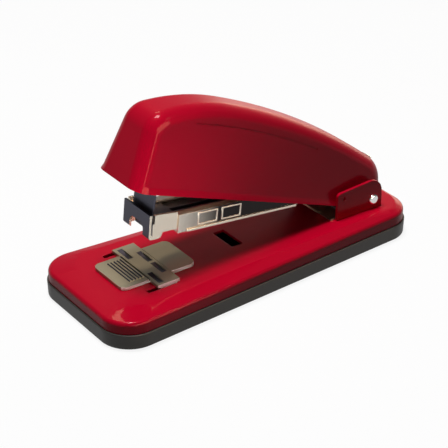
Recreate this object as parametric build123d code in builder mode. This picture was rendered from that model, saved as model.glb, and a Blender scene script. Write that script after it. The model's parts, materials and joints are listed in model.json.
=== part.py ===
"""A red all-metal desk stapler with a sliding two-way anvil, built as an assembly of separate pieces.

Millimetres. The origin is the middle of the base's underside, +X runs from nose to hinge and +Z is up.
The stapler stands at rest: the magazine is held up off the anvil and the handle is held up off the magazine.
"""

from build123d import *
from math import cos, radians, sin, tan
import os

os.makedirs("parts", exist_ok=True)

# Base: a black sole tray that carries a red pressed plate
BASE_LENGTH = 140.0
BASE_FRONT_WIDTH = 59.0
BASE_REAR_WIDTH = 41.0
BASE_CORNER_R = 12.0
SOLE_STAND = 0.5
SOLE_FLOOR = 1.6
SOLE_HEIGHT = 6.2
SOLE_DRAFT = 2.0
LIP_HEIGHT = 2.0
LIP_THICK = 1.2
FOOT_R = 4.5
FOOT_RECESS = 0.8
FOOT_INSET = 13.0
PLATE_SKIN = 1.2
PLATE_INSET = 0.6
PLATE_TOP = 12.4
PLATE_EDGE_TOP = 10.6
PLATE_PANEL_FRONT_WIDTH = 43.0
PLATE_PANEL_REAR_WIDTH = 33.6
PLATE_PANEL_FRONT_GAP = 9.5
PLATE_PANEL_REAR_GAP = 3.8
PLATE_PANEL_CORNER_R = 9.0
PLATE_EDGE_ROUND = 1.6
WINDOW_X = -4.5
WINDOW_LENGTH = 4.8
WINDOW_WIDTH = 12.5

# Hinge: a bracket whose two ears stand through the plate, and the pin that everything turns on
PIN_X = 54.0
PIN_Z = 16.2
PIN_R = 1.6
PIN_HEAD_R = 2.1
PIN_HEAD_HEIGHT = 0.9
PIN_HEAD_ROUND = 0.85
BRACKET_SHEET = 1.2
EAR_FRONT_X = 36.6
EAR_REAR_X = 58.2
EAR_FRONT_TOP = 23.4
EAR_REAR_TOP = 24.8
EAR_FRONT_R = 1.6
EAR_REAR_R = 5.5
DIMPLE_R = 0.8
DIMPLE_DEPTH = 0.5
DIMPLE_BEHIND = 3.0
DIMPLE_BELOW = 2.6
RIVET_R = 1.5
RIVET_HEAD_R = 2.4
RIVET_HEAD_HEIGHT = 0.7
WASHER_R = 3.2
WASHER_THICK = 1.1

# Magazine: a steel channel on the pin, tilted up at rest
REST_TILT = 5.8
CHANNEL_WIDTH = 14.8
CHANNEL_SHEET = 0.9
CHANNEL_HEIGHT = 7.2
CHANNEL_LIFT = 2.2
CHANNEL_FRONT = 95.8
CHANNEL_REAR = 3.1
LIP_INWARD = 1.5
EYE_R = 3.1
REAR_ROUND = 4.5
SIDE_PLATE = 0.9
SIDE_PLATE_GAP = 0.8
SIDE_PLATE_REAR = 34.0
BEAD_PROUD = 0.5
BEAD_HEIGHT = 1.0
BEAD_SETBACK = 3.6
FRAME_PROUD = 0.25
FRAME_LINE = 0.6
FRAME_LENGTH = 8.6
FRAME_HEIGHT = 5.0
FRAME_PITCH = 10.4
FRAME_FRONT = 78.5
HEAD_SHEET = 0.9
HEAD_FRONT = 99.0
HEAD_BACK = 87.4
HEAD_TOP = 11.5
HEAD_BACK_TOP = 10.7
HEAD_FOOT = 2.0
LUG_LENGTH = 5.6
LUG_ROUND = 1.9
LUG_FRONT_ROUND = 1.2
NOTCH_FOOT = 4.2
SLIT_WIDTH = 1.0
SLIT_DEPTH = 3.2
ARCH_WIDTH = 8.6
ARCH_HEIGHT = 5.0
ARCH_ROUND = 2.4
RIB_WIDTH = 3.4
RIB_PROUD = 0.5
RAIL_WIDTH = 11.0
RAIL_SHEET = 0.8
RAIL_HEIGHT = 4.5
RAIL_SLOT = 2.2
RAIL_SLOT_ENDS = 3.0
ROD_R = 0.7
PUSHER_LENGTH = 9.0
PUSHER_SHEET = 0.55
PUSHER_TONGUE = 1.5
PUSHER_TONGUE_LENGTH = 5.0
PUSHER_SADDLE = 4.4
PUSHER_FRONT = 94.5
ROD_SEAT = 4.0
BLOCK_LENGTH = 15.0
SPRING_SEAT_AT = 46.0
SPRING_SEAT_LENGTH = 12.0
SPRING_SEAT_SHEET = 0.8

# Release latch at the rear of the magazine
LATCH_WIDTH = 5.0
LATCH_SHEET = 0.8
LATCH_FRONT = 5.0
LATCH_BEND = 4.0
LATCH_TIP_RUN = 2.5
LATCH_TIP_RISE = 3.7
LATCH_GROOVE_FRONT = 10.5
LATCH_GROOVE_DEPTH = 1.1
LATCH_POCKET_DEPTH = 2.2

# Handle: a deep red cover with a steel lever and the driver blade inside
DRIVE_ANGLE = 4.3
COVER_SKIN = 1.2
COVER_ROUND = 5.5
NOSE_FOOT_X = -51.8
NOSE_FOOT_Z = 51.2
NOSE_LEAN = 24.0
CROWN_TOP = 74.7
CROWN_R = 9.0
BROW_R = 75.0
BROW_TURN = 22.0
BACK_R = 245.0
BACK_TURN = 18.0
TAIL_R = 12.0
TAIL_TURN = 52.0
TAIL_FOOT_Z = 13.3
EDGE_SLOPE = 20.5
EDGE_BREAK_X = 37.5
COVER_FRONT_WIDTH = 25.8
COVER_WALL_LEAN = 6.8
HEM_HEIGHT = 2.2
HEM_FLARE = 16.0
CREASE_DROP = 6.6
CREASE_FRONT_X = -24.0
CREASE_REAR_X = 30.0
CREASE_WIDTH = 0.7
CREASE_DEPTH = 0.3
COVER_PIN_HOLE_R = 2.0
LATCH_SLOT_WIDTH = 6.2
LATCH_SLOT_LENGTH = 7.0
LATCH_SLOT_BELOW = 0.8
LATCH_SLOT_ABOVE = 0.6
LEVER_SHEET = 0.6
LEVER_FOOT = 12.0
LEVER_TOP_FRONT = 20.5
LEVER_TOP_REAR = 14.2
LEVER_WEB_REAR = 30.0
LEVER_ARM_HEIGHT = 6.0
LEVER_ARM_AT = 14.0
LEVER_ARM_DEPTH = 4.4
LEVER_ARM_ROOT = 6.0
LEVER_EYE_R = 2.8
LEVER_CHEEK_GAP = 0.2
TAB_FRONT = 92.0
TAB_REAR = 86.0
TAB_FOOT = 13.0
BLADE_THICK = 0.6
BLADE_WIDTH = 12.6
BLADE_AT = 96.9
BLADE_FOOT = 2.3
BLADE_TOP = 19.0
BLADE_RIVET_R = 1.1
BLADE_RIVET_HEAD_R = 1.9
BLADE_RIVET_HEAD = 0.6
BLADE_RIVET_PITCH = 6.0

# Anvil: a pressed slider held in two side slots of the plate
ANVIL_SHEET = 1.2
ANVIL_TAB_FRONT = -56.6
ANVIL_TAB_WIDTH = 20.0
ANVIL_WING_FRONT = -45.2
ANVIL_WING_REAR = -36.0
ANVIL_WING_WIDTH = 30.4
ANVIL_PAD_REAR = -25.2
ANVIL_PAD_WIDTH = 19.5
ANVIL_PAD_RISE = 0.2
ANVIL_CORNER_R = 2.6
ANVIL_RIB_COUNT = 5
ANVIL_RIB_PITCH = 1.3
ANVIL_RIB_R = 0.4
ANVIL_RIB_LENGTH = 15.0
ANVIL_RIB_SETBACK = 5.0
FOLD_WIDTH = 0.7
FOLD_DEPTH = 0.5
ANVIL_TRAVEL = 4.8
ANVIL_LEG_LENGTH = 7.0
ANVIL_FOOT_REACH = 3.0
KEEPER_SHEET = 0.6
KEEPER_LENGTH = 6.0
PIN_GROOVE_X = -42.8
PIN_GROOVE_SPACING = 20.0
CLINCH_GROOVE_SPACING = 9.2
GROOVE_WIDTH = 2.2
GROOVE_SWEEP_R = 11.5
GROOVE_DEPTH = 0.7

# Springs
LIFT_SPRING_SHEET = 0.6
LIFT_SPRING_ROOT_FRONT = 34.6
LIFT_SPRING_ROOT_REAR = 49.8
LIFT_SPRING_TONGUE_WIDTH = 10.0
LIFT_SPRING_TIP_X = 19.0
LIFT_SPRING_LAND = 6.0
LIFT_SPRING_BEND_R = 5.0
HANDLE_SPRING_WIRE = 1.0
HANDLE_SPRING_R = 3.6
HANDLE_SPRING_TURNS = 4
PUSHER_SPRING_WIRE = 0.4
PUSHER_SPRING_R = 1.3
PUSHER_SPRING_TURNS = 8
LATCH_SPRING_WIRE = 0.4
LATCH_SPRING_R = 1.0
LATCH_SPRING_TURNS = 3

# Clearances
RUNNING_FIT = 0.05
SLIDE_GAP = 0.15
MOVING_GAP = 0.3
SEAT_GAP = 0.1
WASHER_PLAY = 0.2
LEVER_PLAY = 0.15

PIN_POINT = Vector(PIN_X, 0, PIN_Z)


def rearward(tilt):
    """Direction along a piece that is tilted up at the nose by this angle, towards the hinge."""
    return Vector(cos(radians(tilt)), 0, -sin(radians(tilt)))


def upward(tilt):
    """Direction square to a piece that is tilted up at the nose by this angle."""
    return Vector(sin(radians(tilt)), 0, cos(radians(tilt)))


def hinge_point(tilt, behind, above):
    """A point that lies so far behind the pin and so far above it, measured along the tilted piece."""
    return PIN_POINT + rearward(tilt) * behind + upward(tilt) * above


def section_plane(tilt, behind):
    """A plane across a tilted piece: its x runs along +Y, and its y is the height above the pin."""
    return Plane(hinge_point(tilt, behind, 0), x_dir=(0, 1, 0), z_dir=rearward(tilt))


def side_plane(tilt, y=0):
    """A plane along a tilted piece, seen from the side: x behind the pin, y the height above the pin."""
    origin = PIN_POINT + Vector(0, y, 0)
    return Plane(origin, x_dir=rearward(tilt), z_dir=(0, -1, 0))


def plan_plane(tilt, above):
    """A plane that lies along a tilted piece at a height above the pin: x behind the pin, y across."""
    return Plane(hinge_point(tilt, 0, above), x_dir=rearward(tilt), z_dir=upward(tilt))


def base_outline(inset):
    """The tapered plan of the base, drawn inwards by an even inset, in the sketch that is open."""
    front = -BASE_LENGTH / 2 + inset
    rear = BASE_LENGTH / 2 - inset
    front_half = BASE_FRONT_WIDTH / 2 - inset
    rear_half = BASE_REAR_WIDTH / 2 - inset
    tapered_outline(front, rear, front_half, rear_half, BASE_CORNER_R - inset)


def tapered_outline(front, rear, front_half, rear_half, corner_r):
    """A plan with rounded corners whose width runs evenly from the front to the rear."""
    corners = [(front, -front_half), (rear, -rear_half), (rear, rear_half), (front, front_half)]
    outline = Polygon(*corners, align=None)
    fillet(outline.vertices(), corner_r)


def shifted(plane, x, y):
    """The same plane with its origin moved along its own x and y."""
    return Plane(plane.from_local_coords((x, y, 0)), x_dir=plane.x_dir, z_dir=plane.z_dir)


def side_distance(edge, point):
    """How far an edge across the stapler lies from a point, as seen from the side."""
    offset_to = edge.center() - point
    return (offset_to.X**2 + offset_to.Z**2) ** 0.5


def coil_arcs(radius, length, turns):
    """A coil up the z axis of the line that is open, as half-turn arcs that run into each other."""
    rise = length / (2 * turns)
    for half in range(2 * turns):
        side = 1 if half % 2 == 0 else -1
        start = (side * radius, 0, half * rise)
        middle = (0, side * radius, (half + 0.5) * rise)
        end = (-side * radius, 0, (half + 1) * rise)
        ThreePointArc(start, middle, end)


def coil_gap(name, path, wire, turns):
    """Print the least gap between neighbouring turns of a coil, measured on points along its path."""
    points = [path.position_at(step / (24 * turns)) for step in range(24 * turns + 1)]
    half_turn = 12
    apart = [
        (points[near] - points[far]).length
        for near in range(len(points))
        for far in range(near + half_turn, len(points))
    ]
    print(f"{name}: least gap between turns {min(apart) - wire:.2f} mm")


# Places that follow from the sizes above
lip_inset = PLATE_INSET + PLATE_SKIN + SEAT_GAP
plate_under = PLATE_TOP - PLATE_SKIN
anvil_under = PLATE_TOP + SLIDE_GAP
anvil_top = anvil_under + ANVIL_SHEET
wing_half = ANVIL_WING_WIDTH / 2
leg_x = (ANVIL_WING_FRONT + ANVIL_WING_REAR) / 2
keeper_top = plate_under - SLIDE_GAP
foot_top = keeper_top - KEEPER_SHEET
channel_half = CHANNEL_WIDTH / 2
channel_inner = channel_half - CHANNEL_SHEET
channel_floor = CHANNEL_LIFT + CHANNEL_SHEET
channel_top = CHANNEL_LIFT + CHANNEL_HEIGHT
channel_length = CHANNEL_FRONT + CHANNEL_REAR
side_half = channel_half + SIDE_PLATE
side_front = HEAD_BACK - SIDE_PLATE_GAP
head_half = channel_half + HEAD_SHEET
rail_top = channel_floor + RAIL_HEIGHT
block_front = BLOCK_LENGTH - CHANNEL_REAR
rail_length = CHANNEL_FRONT - block_front
rod_height = channel_floor + (RAIL_HEIGHT - RAIL_SHEET) / 2
drive_tilt = REST_TILT + DRIVE_ANGLE

# The widths from the inside out: the lever straddles the channel, the cover the lever, the ears the cover
lever_inner = channel_half + LEVER_CHEEK_GAP
lever_outer = lever_inner + LEVER_SHEET
lever_corner = hinge_point(drive_tilt, -LEVER_WEB_REAR, LEVER_TOP_REAR)
wall_lean = tan(radians(COVER_WALL_LEAN))
wall_skin = COVER_SKIN / cos(radians(COVER_WALL_LEAN))
wall_at_nose = COVER_FRONT_WIDTH / 2 + wall_lean * NOSE_FOOT_Z
wall_at_lever = lever_outer + LEVER_PLAY + wall_skin + wall_lean * lever_corner.Z
wall_draw = (wall_at_nose - wall_at_lever) / (lever_corner.X - NOSE_FOOT_X)
wall_origin = wall_at_nose + wall_draw * NOSE_FOOT_X


def cover_half(x, z):
    """Half the cover's outer width at a place on its side."""
    return wall_origin - wall_draw * x - wall_lean * z


washer_inner = cover_half(PIN_X - WASHER_R, PIN_Z - WASHER_R) + WASHER_PLAY
ear_inner = washer_inner + WASHER_THICK + SEAT_GAP
ear_outer = ear_inner + BRACKET_SHEET

# The soft rubber feet, set in shallow recesses of the sole
foot_front_x = -BASE_LENGTH / 2 + FOOT_INSET
foot_rear_x = BASE_LENGTH / 2 - FOOT_INSET
foot_front_y = BASE_FRONT_WIDTH / 2 - FOOT_INSET
foot_rear_y = BASE_REAR_WIDTH / 2 - FOOT_INSET + FOOT_R / 2
foot_places = [
    (foot_front_x, -foot_front_y),
    (foot_front_x, foot_front_y),
    (foot_rear_x, -foot_rear_y),
    (foot_rear_x, foot_rear_y),
]

with BuildPart() as rubber_feet:
    with BuildSketch():
        with Locations(*foot_places):
            Circle(FOOT_R)
    extrude(amount=SOLE_STAND + FOOT_RECESS)
rubber_feet.part.label = "rubber_feet"

# The black sole tray: a drafted pan whose rim carries the plate, with a lip that the plate's skirt fits round
with BuildPart() as sole_tray:
    with BuildSketch(Plane.XY.offset(SOLE_HEIGHT)):
        base_outline(0)
    extrude(amount=SOLE_STAND - SOLE_HEIGHT, taper=SOLE_DRAFT)
    with BuildSketch(Plane.XY.offset(SOLE_HEIGHT)):
        base_outline(lip_inset)
    extrude(amount=LIP_HEIGHT)
    with BuildSketch(Plane.XY.offset(SOLE_STAND + SOLE_FLOOR)):
        base_outline(lip_inset + LIP_THICK)
    extrude(amount=SOLE_HEIGHT + LIP_HEIGHT, mode=Mode.SUBTRACT)
    with BuildSketch(Plane.XY.offset(SOLE_STAND)):
        with Locations(*foot_places):
            Circle(FOOT_R + SEAT_GAP)
    extrude(amount=FOOT_RECESS, mode=Mode.SUBTRACT)
sole_tray.part.label = "sole_tray"

# The red base plate: a pressed pan with a bevelled top, a window, slots and rivet holes
panel_front = -BASE_LENGTH / 2 + PLATE_PANEL_FRONT_GAP
panel_rear = BASE_LENGTH / 2 - PLATE_PANEL_REAR_GAP
slot_front = leg_x - ANVIL_LEG_LENGTH / 2 - ANVIL_TRAVEL - MOVING_GAP
slot_rear = leg_x + ANVIL_LEG_LENGTH / 2 + MOVING_GAP
leg_middle = wing_half - ANVIL_SHEET / 2
ear_middle = (ear_outer + ear_inner) / 2
rivet_x = (EAR_FRONT_X + LIFT_SPRING_ROOT_REAR) / 2
rivet_y = LIFT_SPRING_TONGUE_WIDTH / 2
rivet_places = [(rivet_x, -rivet_y), (rivet_x, rivet_y)]

with BuildPart() as base_plate:
    with BuildSketch(Plane.XY.offset(SOLE_HEIGHT)):
        base_outline(PLATE_INSET)
    extrude(amount=PLATE_EDGE_TOP - SOLE_HEIGHT)
    with BuildSketch(Plane.XY.offset(PLATE_EDGE_TOP)):
        base_outline(PLATE_INSET)
    with BuildSketch(Plane.XY.offset(PLATE_TOP)):
        tapered_outline(
            panel_front,
            panel_rear,
            PLATE_PANEL_FRONT_WIDTH / 2,
            PLATE_PANEL_REAR_WIDTH / 2,
            PLATE_PANEL_CORNER_R,
        )
    loft(ruled=True)
    rim = base_plate.edges().filter_by_position(Axis.Z, PLATE_EDGE_TOP - SEAT_GAP, PLATE_EDGE_TOP + SEAT_GAP)
    fillet(rim, PLATE_EDGE_ROUND)
    offset(amount=-PLATE_SKIN, openings=base_plate.faces().sort_by(Axis.Z)[0])
    with BuildSketch(Plane.XY.offset(PLATE_TOP)):
        with Locations((WINDOW_X, 0)):
            Rectangle(WINDOW_LENGTH, WINDOW_WIDTH)
        for side in (-1, 1):
            with Locations(((slot_front + slot_rear) / 2, side * leg_middle)):
                Rectangle(slot_rear - slot_front, ANVIL_SHEET + 2 * MOVING_GAP)
            with Locations(((EAR_FRONT_X + EAR_REAR_X) / 2, side * ear_middle)):
                Rectangle(EAR_REAR_X - EAR_FRONT_X + 2 * SEAT_GAP, BRACKET_SHEET + 2 * SEAT_GAP)
        with Locations(*rivet_places):
            Circle(RIVET_R)
    extrude(amount=-2 * PLATE_SKIN, mode=Mode.SUBTRACT)
base_plate.part.label = "base_plate"

# The hinge bracket: its floor lies under the plate and its ears stand up through it
bracket_under = plate_under - BRACKET_SHEET

with BuildPart() as hinge_bracket:
    with BuildSketch(Plane.XZ) as ear_outline:
        with BuildLine():
            Polyline(
                (EAR_FRONT_X, bracket_under),
                (EAR_FRONT_X, EAR_FRONT_TOP),
                (EAR_REAR_X, EAR_REAR_TOP),
                (EAR_REAR_X, bracket_under),
                close=True,
            )
        make_face()
        fillet(ear_outline.vertices().sort_by_distance((EAR_REAR_X, EAR_REAR_TOP))[0], EAR_REAR_R)
        fillet(ear_outline.vertices().sort_by_distance((EAR_FRONT_X, EAR_FRONT_TOP))[0], EAR_FRONT_R)
    extrude(amount=ear_outer, both=True)
    with BuildSketch(Plane.XY.offset(plate_under)):
        with Locations((PIN_X, 0)):
            Rectangle(BASE_LENGTH, 2 * ear_inner)
    extrude(amount=BASE_LENGTH, mode=Mode.SUBTRACT)
    with BuildSketch(Plane.XZ):
        with Locations((PIN_X, PIN_Z)):
            Circle(PIN_R + RUNNING_FIT)
    extrude(amount=2 * ear_outer, both=True, mode=Mode.SUBTRACT)
    with BuildSketch(Plane.XY.offset(plate_under)):
        with Locations(*rivet_places):
            Circle(RIVET_R + RUNNING_FIT)
    extrude(amount=-2 * BRACKET_SHEET, mode=Mode.SUBTRACT)
    for side in (-1, 1):
        with BuildSketch(Plane.XZ.offset(-side * ear_outer)):
            with Locations((EAR_FRONT_X + DIMPLE_BEHIND, EAR_FRONT_TOP - DIMPLE_BELOW)):
                Circle(DIMPLE_R)
        extrude(amount=side * DIMPLE_DEPTH, mode=Mode.SUBTRACT)
hinge_bracket.part.label = "hinge_bracket"

# The hinge pin, headed over on the outside of both ears
with BuildPart() as hinge_pin:
    for radius, reach in ((PIN_R, ear_outer), (PIN_HEAD_R, ear_outer + PIN_HEAD_HEIGHT)):
        with BuildSketch(Plane.XZ):
            with Locations((PIN_X, PIN_Z)):
                Circle(radius)
        extrude(amount=reach, both=True)
    with BuildSketch(Plane.XZ):
        with Locations((PIN_X, PIN_Z)):
            Circle(2 * PIN_HEAD_R)
            Circle(PIN_R, mode=Mode.SUBTRACT)
    extrude(amount=ear_outer, both=True, mode=Mode.SUBTRACT)
    rims = hinge_pin.edges().filter_by(GeomType.CIRCLE).group_by(Axis.Y)
    fillet([*rims[0], *rims[-1]], PIN_HEAD_ROUND)
hinge_pin.part.label = "hinge_pin"

# Two washers that keep the handle in the middle of the ears
with BuildPart() as pin_washers:
    for side in (-1, 1):
        with BuildSketch(Plane.XZ.offset(-side * (ear_inner - SEAT_GAP))):
            with Locations((PIN_X, PIN_Z)):
                Circle(WASHER_R)
                Circle(PIN_R + RUNNING_FIT, mode=Mode.SUBTRACT)
        extrude(amount=side * WASHER_THICK)
pin_washers.part.label = "pin_washers"

# The lift spring: a root plate between the ears, with a tongue that rises to the magazine
spring_floor = PLATE_TOP + LIFT_SPRING_SHEET


def channel_under(x):
    """Height of the magazine's underside above the bench at this place along the base."""
    return PIN_Z + CHANNEL_LIFT / cos(radians(REST_TILT)) + (PIN_X - x) * tan(radians(REST_TILT))


with BuildPart() as lift_spring:
    with BuildSketch(Plane.XY.offset(PLATE_TOP)):
        with Locations(((LIFT_SPRING_ROOT_FRONT + LIFT_SPRING_ROOT_REAR) / 2, 0)):
            Rectangle(LIFT_SPRING_ROOT_REAR - LIFT_SPRING_ROOT_FRONT, 2 * (ear_inner - SLIDE_GAP))
    extrude(amount=LIFT_SPRING_SHEET)
    with BuildSketch(Plane.XZ):
        with BuildLine():
            land_x = LIFT_SPRING_TIP_X + LIFT_SPRING_LAND
            FilletPolyline(
                (LIFT_SPRING_TIP_X, channel_under(LIFT_SPRING_TIP_X) - SEAT_GAP),
                (land_x, channel_under(land_x) - SEAT_GAP),
                (LIFT_SPRING_ROOT_FRONT, spring_floor),
                (LIFT_SPRING_ROOT_REAR, spring_floor),
                radius=LIFT_SPRING_BEND_R,
            )
            offset(amount=LIFT_SPRING_SHEET, side=Side.RIGHT)
        make_face()
    extrude(amount=LIFT_SPRING_TONGUE_WIDTH / 2, both=True)
    with BuildSketch(Plane.XY.offset(PLATE_TOP)):
        with Locations(*rivet_places):
            Circle(RIVET_R + RUNNING_FIT)
    extrude(amount=LIFT_SPRING_SHEET, mode=Mode.SUBTRACT)
lift_spring.part.label = "lift_spring"

# Two rivets that clamp the spring's root, the plate and the bracket's floor
with BuildPart() as bracket_rivets:
    with BuildSketch(Plane.XY.offset(bracket_under)):
        with Locations(*rivet_places):
            Circle(RIVET_R)
    extrude(amount=spring_floor - bracket_under)
    for level, height in ((bracket_under, -RIVET_HEAD_HEIGHT), (spring_floor, RIVET_HEAD_HEIGHT)):
        with BuildSketch(Plane.XY.offset(level)):
            with Locations(*rivet_places):
                Circle(RIVET_HEAD_R)
        extrude(amount=height)
bracket_rivets.part.label = "bracket_rivets"

# The anvil: a ribbed thumb tab, a fold line, a wing strip with the grooves and a rear pad, in one pressing
with BuildPart() as anvil_plate:
    with BuildSketch(Plane.XY.offset(anvil_under)) as anvil_outline:
        with Locations(((ANVIL_TAB_FRONT + ANVIL_WING_FRONT) / 2, 0)):
            Rectangle(ANVIL_WING_FRONT - ANVIL_TAB_FRONT, ANVIL_TAB_WIDTH)
        with Locations((leg_x, 0)):
            Rectangle(ANVIL_WING_REAR - ANVIL_WING_FRONT, ANVIL_WING_WIDTH)
        with Locations(((ANVIL_WING_REAR + ANVIL_PAD_REAR) / 2, 0)):
            Rectangle(ANVIL_PAD_REAR - ANVIL_WING_REAR, ANVIL_PAD_WIDTH)
        fillet(anvil_outline.vertices().group_by(Axis.X)[0], ANVIL_CORNER_R)
        fillet(anvil_outline.vertices().group_by(Axis.X)[-1], ANVIL_CORNER_R)
    extrude(amount=ANVIL_SHEET)
    with BuildSketch(Plane.XY.offset(anvil_top)) as pad_outline:
        with Locations(((ANVIL_WING_REAR + ANVIL_PAD_REAR) / 2, 0)):
            Rectangle(ANVIL_PAD_REAR - ANVIL_WING_REAR, ANVIL_PAD_WIDTH)
        fillet(pad_outline.vertices().group_by(Axis.X)[-1], ANVIL_CORNER_R)
    extrude(amount=ANVIL_PAD_RISE)
    with BuildSketch(Plane.XZ):
        for step in range(ANVIL_RIB_COUNT):
            with Locations((ANVIL_TAB_FRONT + ANVIL_RIB_SETBACK + step * ANVIL_RIB_PITCH, anvil_top)):
                Circle(ANVIL_RIB_R)
    extrude(amount=ANVIL_RIB_LENGTH / 2, both=True)
    with BuildSketch(Plane.XZ):
        with Locations((ANVIL_WING_FRONT, anvil_top)):
            Rectangle(FOLD_WIDTH, 2 * FOLD_DEPTH)
    extrude(amount=ANVIL_TAB_WIDTH / 2, both=True, mode=Mode.SUBTRACT)
    for side in (-1, 1):
        with BuildSketch(Plane.YZ.offset(leg_x)):
            with BuildLine():
                outer = side * wing_half
                inner = side * (wing_half - ANVIL_SHEET)
                toe = side * (wing_half - ANVIL_FOOT_REACH)
                Polyline(
                    (outer, anvil_top),
                    (outer, foot_top - ANVIL_SHEET),
                    (toe, foot_top - ANVIL_SHEET),
                    (toe, foot_top),
                    (inner, foot_top),
                    (inner, anvil_top),
                    close=True,
                )
            make_face()
        extrude(amount=ANVIL_LEG_LENGTH / 2, both=True)
    for groove_x, spacing in (
        (PIN_GROOVE_X, PIN_GROOVE_SPACING),
        (PIN_GROOVE_X + ANVIL_TRAVEL, CLINCH_GROOVE_SPACING),
    ):
        with BuildSketch(Plane.YZ.offset(groove_x)):
            with Locations((0, anvil_top + GROOVE_SWEEP_R - GROOVE_DEPTH)):
                with GridLocations(spacing, 1, 2, 1):
                    Circle(GROOVE_SWEEP_R)
        extrude(amount=GROOVE_WIDTH / 2, both=True, mode=Mode.SUBTRACT)
anvil_plate.part.label = "anvil_plate"

# The keeper: a springy strip on the anvil's feet that runs along the plate's underside
with BuildPart() as anvil_keeper:
    with BuildSketch(Plane.XY.offset(foot_top)):
        with Locations((leg_x, 0)):
            Rectangle(KEEPER_LENGTH, 2 * (wing_half - ANVIL_SHEET))
    extrude(amount=KEEPER_SHEET)
anvil_keeper.part.label = "anvil_keeper"

# The magazine channel: a lipped channel with eyes, whose side plates carry a bead and stamped frames
with BuildPart() as magazine_channel:
    with BuildSketch(section_plane(REST_TILT, -CHANNEL_FRONT)):
        with Locations((0, CHANNEL_LIFT)):
            Rectangle(CHANNEL_WIDTH, CHANNEL_HEIGHT, align=(Align.CENTER, Align.MIN))
        with Locations((0, channel_floor)):
            Rectangle(2 * channel_inner, CHANNEL_HEIGHT, align=(Align.CENTER, Align.MIN), mode=Mode.SUBTRACT)
    extrude(amount=channel_length)
    rear_corner = hinge_point(REST_TILT, CHANNEL_REAR, channel_top)
    across = magazine_channel.edges().filter_by(Axis.Y)
    fillet(across.sort_by(lambda edge: side_distance(edge, rear_corner))[:2], REAR_ROUND)
    for side in (-1, 1):
        with BuildSketch(section_plane(REST_TILT, -CHANNEL_FRONT)):
            with Locations((side * (channel_inner - LIP_INWARD / 2), channel_top - CHANNEL_SHEET / 2)):
                Rectangle(LIP_INWARD, CHANNEL_SHEET)
        extrude(amount=CHANNEL_FRONT - block_front)
        with BuildSketch(section_plane(REST_TILT, -side_front)):
            with Locations((side * (channel_half + SIDE_PLATE / 2), CHANNEL_LIFT + CHANNEL_HEIGHT / 2)):
                Rectangle(SIDE_PLATE, CHANNEL_HEIGHT)
        extrude(amount=side_front - SIDE_PLATE_REAR)
        with BuildSketch(section_plane(REST_TILT, -side_front + BEAD_SETBACK)):
            with Locations((side * (side_half + BEAD_PROUD / 2), CHANNEL_LIFT + BEAD_HEIGHT / 2)):
                Rectangle(BEAD_PROUD, BEAD_HEIGHT)
        extrude(amount=side_front - BEAD_SETBACK - SIDE_PLATE_REAR)
        with BuildSketch(side_plane(REST_TILT, side * channel_half)):
            with Locations((0, CHANNEL_LIFT)):
                Rectangle(2 * EYE_R, 2 * CHANNEL_LIFT)
            Circle(EYE_R)
            Circle(PIN_R + RUNNING_FIT, mode=Mode.SUBTRACT)
        extrude(amount=side * CHANNEL_SHEET)
        with BuildSketch(side_plane(REST_TILT, side * side_half)):
            for step in range(2):
                frame_middle = -FRAME_FRONT + FRAME_LENGTH / 2 + step * FRAME_PITCH
                with Locations((frame_middle, (channel_floor + channel_top) / 2)):
                    Rectangle(FRAME_LENGTH, FRAME_HEIGHT)
                    Rectangle(
                        FRAME_LENGTH - 2 * FRAME_LINE,
                        FRAME_HEIGHT - 2 * FRAME_LINE,
                        mode=Mode.SUBTRACT,
                    )
        extrude(amount=-side * FRAME_PROUD)
    with BuildSketch(section_plane(REST_TILT, -CHANNEL_FRONT)):
        with Locations((0, CHANNEL_LIFT)):
            Rectangle(CHANNEL_WIDTH, NOTCH_FOOT - CHANNEL_LIFT, align=(Align.CENTER, Align.MIN))
    extrude(amount=CHANNEL_FRONT - side_front, mode=Mode.SUBTRACT)
magazine_channel.part.label = "magazine_channel"

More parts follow.
